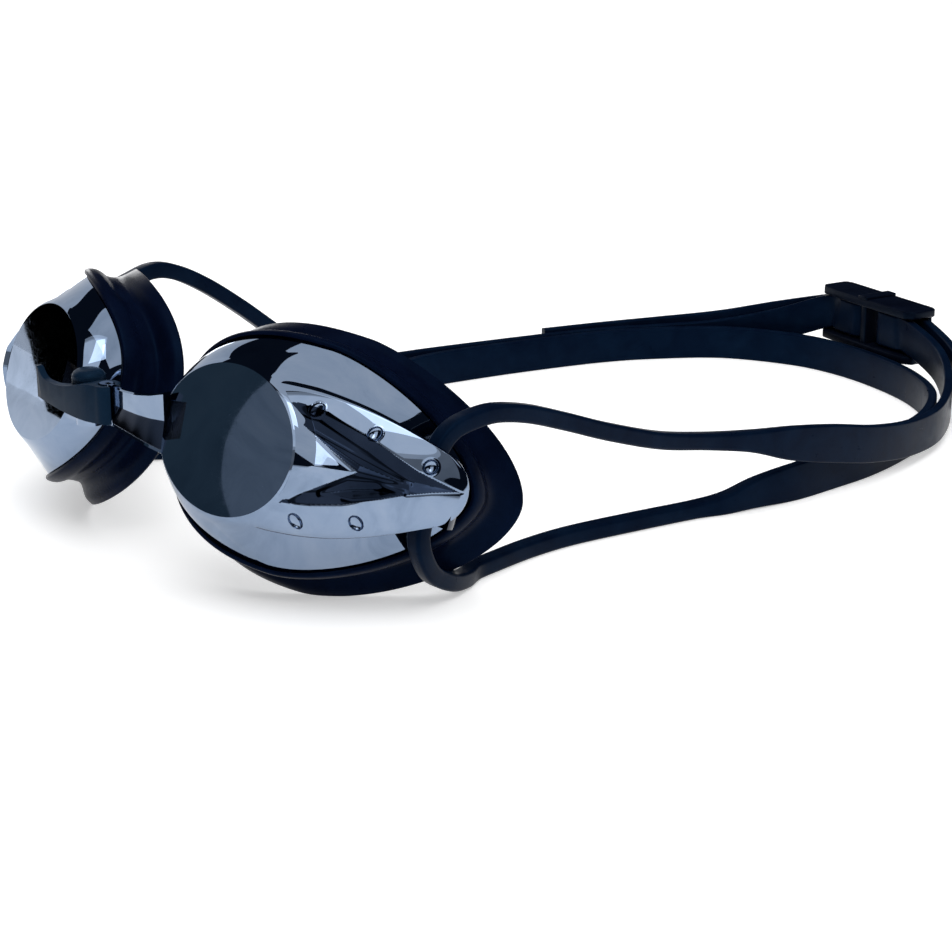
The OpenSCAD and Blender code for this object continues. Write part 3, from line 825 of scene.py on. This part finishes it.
LEFT_LOOP = strand((49.3, 48, W), (50.2, 42, W), (52.8, 37.2, 2.1), (55.2, 31.6, 3.5), (56.8, 26, 6.6),
                   (58, 22.6, 10.8), (58.6, 21.2, 15.4), (58.9, 22.4, 21), (59.2, 23.8, 27),
                   (59.5, 25.2, 31.6), (59.9, 28, 34.4), (60.2, 32.5, 35.5), (60.3, 38, 35.6),
                   (60.2, 46, 33.8))
RIGHT_LOOP = strand((-49.3, 48, W), (-50.2, 42, W), (-52.8, 37.2, 2.1), (-55.2, 31.6, 3.5),
                    (-56.8, 26, 6.6), (-58, 22.6, 10.8), (-58.6, 21.2, 15.4), (-58.9, 22.4, 21),
                    (-59.2, 23.8, 27), (-59.5, 25.4, 31.6), (-59.8, 29, 34.6), (-60, 34.6, 36),
                    (-60.1, 41, 38), (-60.1, 47, 39.4))
LEFT_LOWER = [(58.6, 112, 3.4, 1.3, 3.2), (56.6, 105, 2.2, 1.6, 2.2), (54.1, 98, W, W, W),
              (51.2, 84, W, W, W), (48.6, 69, W, W, W), (48.3, 58, W, W, W)]
RIGHT_LOWER = [(-55.6, 114, 3.6, 1.2, 3.6), (-55.6, 105, 2.4, 1.6, 2.4), (-54, 96, W, W, W),
               (-51.2, 84, W, W, W), (-48.6, 69, W, W, W), (-48.3, 58, W, W, W)]
LEFT_UPPER = [(60, 55.5, 30.4, W, W), (60, 67, 26, W, W), (60.1, 81, 21.4, W, W), (60.6, 94, 18.6, W, W),
              (62, 106, 16.4, 1.6, 2.2), (63.4, 117, 14, 1.2, 3.5)]
RIGHT_UPPER = [(-60.1, 53, 38.2, W, W), (-60.1, 61, 34, W, W), (-60, 70.5, 27.4, W, W),
               (-60.1, 80.4, 19.8, W, W), (-60.4, 91, 12.4, W, W), (-60.2, 102, 7.4, 1.6, 2.4),
               (-59.6, 113, 5, 1.2, 3.6)]
LEFT_BAND = band((64.2, 129, 11.6), (64.2, 143, 8.6), (62.4, 158, 6.4), (58.4, 173, 5.8), (50.2, 187.4, 7),
                 (39.6, 198, 10.4))
RIGHT_BAND = band((-57.8, 126, 4.2), (-52.4, 147, H), (-45.2, 169, H), (-37, 184.6, H), (-27.4, 196.8, 5),
                  (-16, 205.6, 8.4))
BACK_BAND = band((60.6, 122, H), (61, 134, H), (60.8, 146, H), (58.8, 159, H), (54.8, 173, H),
                 (46.4, 186.6, H), (33.7, 196, H), (18.8, 201.5, H), (4, 203.8, H), (-9, 202.2, H),
                 (-24.4, 194.6, H), (-35, 181.8, H), (-42.4, 168, H), (-49.4, 146, H), (-54.2, 125, H))
LEFT_TAIL = band((42.8, 199.4, 10.8), (52.2, 189.6, 7.6))
RIGHT_TAIL = band((-17.2, 208.4, 9.8), (-29.2, 199.2, 6.6), (-39.2, 186.4, 5.2), (-46.4, 172, 4.8),
                  (-52, 158, 4.6))


def clip_point(u, v):
    """A row of the strap's route at (u, v) in the clip's own frame."""
    c, s = math.cos(CLIP_TURN), math.sin(CLIP_TURN)
    return (CLIP_AT[0] + u * c - v * s, CLIP_AT[1] + u * s + v * c, CLIP_AT[2], T, H)


def turn_route(side):
    """The strap doubling back round one bar of the clip."""
    inner = [clip_point(side * u, -TURN_R) for u in (CLIP_IN, 10)]
    bend = [clip_point(side * (BAR_U - TURN_R * sd(a)), -TURN_R * cd(a)) for a in range(0, 181, 30)]
    outer = [clip_point(side * u, TURN_R) for u in (10, CLIP_IN)]
    return inner + bend + outer


# The whole strap from the left tail to the right one.
PARTS = [LEFT_TAIL[::-1], turn_route(1)[::-1], LEFT_BAND[::-1], LEFT_UPPER[::-1], LEFT_LOOP[::-1],
         LEFT_LOWER[::-1], BACK_BAND, RIGHT_LOWER, RIGHT_LOOP, RIGHT_UPPER, RIGHT_BAND, turn_route(-1),
         RIGHT_TAIL]
ROUTE = [np.array(p, float) for part in PARTS for p in part]
STARTS = [sum(len(part) for part in PARTS[:k]) for k in range(len(PARTS) + 1)]
BACK_CENTRE_Y = 150.0
STRAP_STEPS = 8
# Half the stretch of route, in rows, over which the strap's direction is read.
DIRECTION_STEP = 0.04


def strap_at(i, u):
    """The route between row i at u = 0 and the next row at u = 1."""
    last = len(ROUTE) - 1
    return spline_point(ROUTE[max(i - 1, 0)], ROUTE[i], ROUTE[min(i + 1, last)], ROUTE[min(i + 2, last)], u)


def rounded_section(half_t, half_h):
    """Section of the strip with rounded corners, as (out, up) pairs."""
    r = 0.42 * min(half_t, half_h)
    points = []
    for k, (sx, sy) in enumerate(((1, 1), (-1, 1), (-1, -1), (1, -1))):
        cx, cy = sx * (half_t - r), sy * (half_h - r)
        points += [(cx + r * cd(90 * k + b), cy + r * sd(90 * k + b)) for b in (0, 22.5, 45, 67.5, 90)]
    return points


def strap_ring(i, u):
    """The strip's section on its route, standing up, with its thickness facing out from the head."""
    last = len(ROUTE) - 1
    p = strap_at(min(i, last - 1), 1.0) if i >= last else strap_at(i, u)
    position = min(i + u, last)
    before, after = max(position - DIRECTION_STEP, 0), min(position + DIRECTION_STEP, last)
    q0 = strap_at(min(int(before), last - 1), before - min(int(before), last - 1))
    q1 = strap_at(min(int(after), last - 1), after - min(int(after), last - 1))
    along = unit((q1 - q0)[:3])
    flat = np.array([p[0], max(0.0, p[1] - BACK_CENTRE_Y), 0.0])
    out = unit(flat - flat.dot(along) * along)
    up = np.cross(along, out)
    return [p[:3] + q[0] * out + q[1] * up for q in rounded_section(p[3], p[4])]


def build_strip(name, first, last, nodes):
    """One length of the strap, from row first to row last of the route, in place of the CAD's nodes."""
    rings = []
    for i in range(first, last):
        rings += [strap_ring(i, k / STRAP_STEPS) for k in range(STRAP_STEPS)]
    rings.append(strap_ring(last, 0))
    vertices, faces = skin(rings)
    strip = make_object(name, vertices, faces, [STRAP], None, 60)
    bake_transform(strip)
    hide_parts(*nodes)


def build_strap():
    left, right = STARTS[4] - 1, STARTS[9] + 1
    build_strip("left_upper_strap", 0, left, ("left_tail", "left_upper_band", "left_upper_strand"))
    build_strip("left_loop", left, STARTS[5], ("left_strap_loop",))
    build_strip("lower_back_strap", STARTS[5], STARTS[8],
                ("left_lower_strand", "lower_back_band", "right_lower_strand"))
    build_strip("right_loop", STARTS[8], right, ("right_strap_loop",))
    build_strip("right_upper_strap", right, len(ROUTE) - 1,
                ("right_upper_strand", "right_upper_band", "right_tail"))


# ---------------------------------------------------------------- ladder clip
def clip_place(vertices):
    """From the clip's own frame, with its bottom at 0, to the goggles' frame."""
    c, s = math.cos(CLIP_TURN), math.sin(CLIP_TURN)
    return [(CLIP_AT[0] + u * c - v * s, CLIP_AT[1] + u * s + v * c, CLIP_AT[2] - CLIP_H / 2 + z)
            for u, v, z in vertices]


def rail_outline():
    """The clip's top and bottom rail from above, with chamfered ends."""
    half, deep = CLIP_LEN / 2, CLIP_HALF_V
    near = [(-half, -2.6), (-half + 2, 0.4 - deep), (-10, 0.1 - deep), (-6, -deep), (6, -deep),
            (10, 0.1 - deep), (half - 2, 0.4 - deep), (half, -2.6)]
    far = [(half, deep - 1.4), (half - 0.6, deep - 0.5), (half - 2, deep), (2 - half, deep),
           (0.6 - half, deep - 0.5), (-half, deep - 1.4)]
    return near + far


def build_clip():
    """Two rails, two round bars, a middle post, two end posts and a raised strip across the top."""
    parts = [prism(rail_outline(), z, z + RAIL_T) for z in (0, CLIP_H - RAIL_T)]
    uprights = [circle((side * BAR_U, 0), BAR_R, 32) for side in (-1, 1)]
    deep = CLIP_HALF_V - 0.6
    uprights.append(rectangle(-0.9, -deep, 0.9, deep))
    for side in (-1, 1):
        u = side * (CLIP_LEN / 2 - 3.5)
        uprights.append(rectangle(u - 1.5, CLIP_HALF_V - 1.1, u + 1.5, CLIP_HALF_V))
    parts += [prism(shape, RAIL_SINK, CLIP_H - RAIL_SINK) for shape in uprights]
    parts.append(prism(rectangle(-1.6, -CLIP_HALF_V, 1.6, CLIP_HALF_V), CLIP_H - 0.2, CLIP_H + 0.7))
    vertices, faces = merge(*parts)
    clip = make_object("ladder_clip", clip_place(vertices), faces, [CLIP], "strap", 30)
    bevel(clip, 0.35)
    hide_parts("strap_clip")


# ---------------------------------------------------------------- build everything
build_lens("left", merge(nasal_arm_mesh(), trunnion_mesh()), nasal_shade_faces())
build_lens("right", nasal_lug_mesh())
for cup_side in ("left", "right"):
    build_gasket(cup_side)
build_bridge()
build_strap()
build_clip()


# ---------------------------------------------------------------- camera, floor and light, in metres
# The camera, fitted to the photo: its direction and distance from the point that it looks at, how far that
# point is to the right of and above the one at LOOK_Z over the origin, and the focal length in millimetres.
CAMERA_AZIMUTH, CAMERA_ELEVATION, CAMERA_DISTANCE = 47.794, 18.213, 0.43833
LOOK_RIGHT, LOOK_UP, LOOK_Z = 0.06524, 0.00741, 0.00954
FOCAL_LENGTH = 86.98
# The dark card's direction from the far window, its distance, and the angle that it fills each way.
CARD_AZIMUTH, CARD_ELEVATION, CARD_DISTANCE, CARD_ANGLE = -72.5, 1.86, 1.1, 3.0
# The grey disk's brightness, size and distance, and where its middle shows in the near window's plane, in
# millimetres from the window's centre.
DISK_RADIANCE, DISK_SIZE, DISK_DISTANCE = 0.175, 0.184, 1.9
DISK_MIDDLE = [25.8, 2.4, 0]
FLOOR_HALF = 6.0


def direction(azimuth, elevation):
    """Unit vector at two angles in degrees; azimuth 0 is the front and 90 the wearer's left."""
    a, e = math.radians(azimuth), math.radians(elevation)
    return Vector((math.sin(a) * math.cos(e), -math.cos(a) * math.cos(e), math.sin(e)))


def sideways(azimuth):
    """Level unit vector to the right of someone who looks from that azimuth."""
    return Vector((cd(azimuth), sd(azimuth), 0))


def place_camera():
    """Sets up the camera and gives back where it stands."""
    back, right = direction(CAMERA_AZIMUTH, CAMERA_ELEVATION), sideways(CAMERA_AZIMUTH)
    up = back.cross(right)
    target = right * LOOK_RIGHT + up * LOOK_UP + Vector((0, 0, LOOK_Z))
    data = bpy.data.cameras.new("camera")
    data.lens = FOCAL_LENGTH
    data.sensor_width = 36
    data.clip_start = 0.01
    data.clip_end = 50
    camera = bpy.data.objects.new("camera", data)
    turn = Matrix((right, up, back)).transposed().to_4x4()
    camera.matrix_world = Matrix.Translation(target + back * CAMERA_DISTANCE) @ turn
    bpy.context.scene.collection.objects.link(camera)
    bpy.context.scene.camera = camera
    return camera.matrix_world.translation.copy()


def panel(name, centre, azimuth, elevation, distance, size, radiance, colour=(1, 1, 1), glossy=True):
    """A soft panel of a given brightness, seen from centre in a given direction."""
    place = Vector(centre) + direction(azimuth, elevation) * distance
    power = radiance * math.pi * size[0] * size[1]
    area_light(name, place, centre, size, power, colour, glossy)


def dark_card():
    """A black card, seen only in reflections, whose slanted edge crosses the far window."""
    way = direction(CARD_AZIMUTH, CARD_ELEVATION)
    centre = Vector((-CUP_X, 0, CUP_Z)) * MM + way * CARD_DISTANCE
    side = sideways(CARD_AZIMUTH)
    rise = side.cross(way)
    half = CARD_DISTANCE * math.tan(math.radians(CARD_ANGLE)) * math.sqrt(2)
    corners = [centre + side * half, centre + rise * half, centre - side * half, centre - rise * half]
    mesh = bpy.data.meshes.new("dark_card")
    mesh.from_pydata(corners, [], [(0, 1, 2, 3)])
    card = bpy.data.objects.new("dark_card", mesh)
    black = new_material("dark_card", Base_Color=grey(0.0), Roughness=1.0, Specular_IOR_Level=0.0)[0]
    mesh.materials.append(black)
    for kind in ("camera", "diffuse", "shadow", "transmission"):
        setattr(card, f"visible_{kind}", False)
    bpy.context.scene.collection.objects.link(card)


def grey_disk(eye):
    """A round grey light whose edge crosses what the camera, at eye, sees reflected in the near window."""
    window_at = Vector(to_goggles([0, 0, 0])) * MM
    window_normal = Vector(to_goggles([0, 0, 1]) - CUP_AT)
    shift = Vector(to_goggles(DISK_MIDDLE) - CUP_AT) * MM
    reflected = eye - 2 * (eye - window_at).dot(window_normal) * window_normal
    way = (window_at + shift - reflected).normalized()
    place = reflected + way * DISK_DISTANCE
    power = DISK_RADIANCE * math.pi * math.pi * DISK_SIZE ** 2 / 4
    light = area_light("grey_disk", place, reflected, (DISK_SIZE, DISK_SIZE), power, (0.98, 1.0, 1.08))
    light.data.shape = "DISK"


def area_light(name, place, target, size, power, colour, seen=True):
    """A light that faces target; seen says whether mirrors show it."""
    data = bpy.data.lights.new(name, "AREA")
    data.shape = "RECTANGLE"
    data.size, data.size_y = size
    data.energy = power
    data.color = colour
    light = bpy.data.objects.new(name, data)
    light.location = place
    aim = Vector(target) - Vector(place)
    light.rotation_euler = aim.to_track_quat("-Z", "Y").to_euler()
    light.visible_camera = False
    light.visible_glossy = seen
    bpy.context.scene.collection.objects.link(light)
    return light


def build_stage(eye):
    """Floor, dim sky, and the lights and cards around the goggles; eye is where the camera stands."""
    mesh = bpy.data.meshes.new("floor")
    corners = rectangle(-FLOOR_HALF, -FLOOR_HALF, FLOOR_HALF, FLOOR_HALF)
    mesh.from_pydata([(x, y, 0) for x, y in corners], [], [(0, 1, 2, 3)])
    floor = bpy.data.objects.new("floor", mesh)
    mesh.materials.append(pale_floor())
    bpy.context.scene.collection.objects.link(floor)
    world = bpy.data.worlds.new("studio")
    bpy.context.scene.world = world
    world.use_nodes = True
    sky = world.node_tree.nodes["Background"]
    sky.inputs["Color"].default_value = (0.4, 0.6, 1.0, 1)
    sky.inputs["Strength"].default_value = 0.02
    near = (0.03, 0.0, 0.03)
    # Name, centre, azimuth, elevation, distance, size and radiance.
    panel("overhead", (0, 0.05, 0), 170, 78, 1.25, (2.4, 2.4), 1.25, glossy=False)
    panel("key_right", near, 57, 56, 1.0, (0.26, 0.5), 1.9)
    panel("ridge_high", near, 40, 50, 1.0, (0.62, 0.95), 0.55)
    panel("ridge_middle", near, 40, 46, 1.0, (0.62, 0.92), 0.45)
    panel("ridge_low", near, 40, 35, 1.0, (0.62, 1.5), 0.3)
    panel("bevel_light", near, 70, 52, 1.0, (0.09, 0.36), 2.2)
    panel("fill_right", near, 97, 64, 1.1, (0.75, 1.72), 0.95)
    panel("backdrop_left", near, -96.5, 17, 1.2, (1.145, 0.95), 0.92)
    dark_card()
    panel("strip_left", near, -117, 6, 1.0, (0.16, 0.35), 3.0)
    panel("window_card", near, -33, 9, 1.6, (0.5, 0.5), 0.075, (0.55, 0.85, 1.0))
    grey_disk(eye)


build_stage(place_camera())
scene = bpy.context.scene
scene.view_settings.view_transform = "Standard"
scene.view_settings.look = "None"
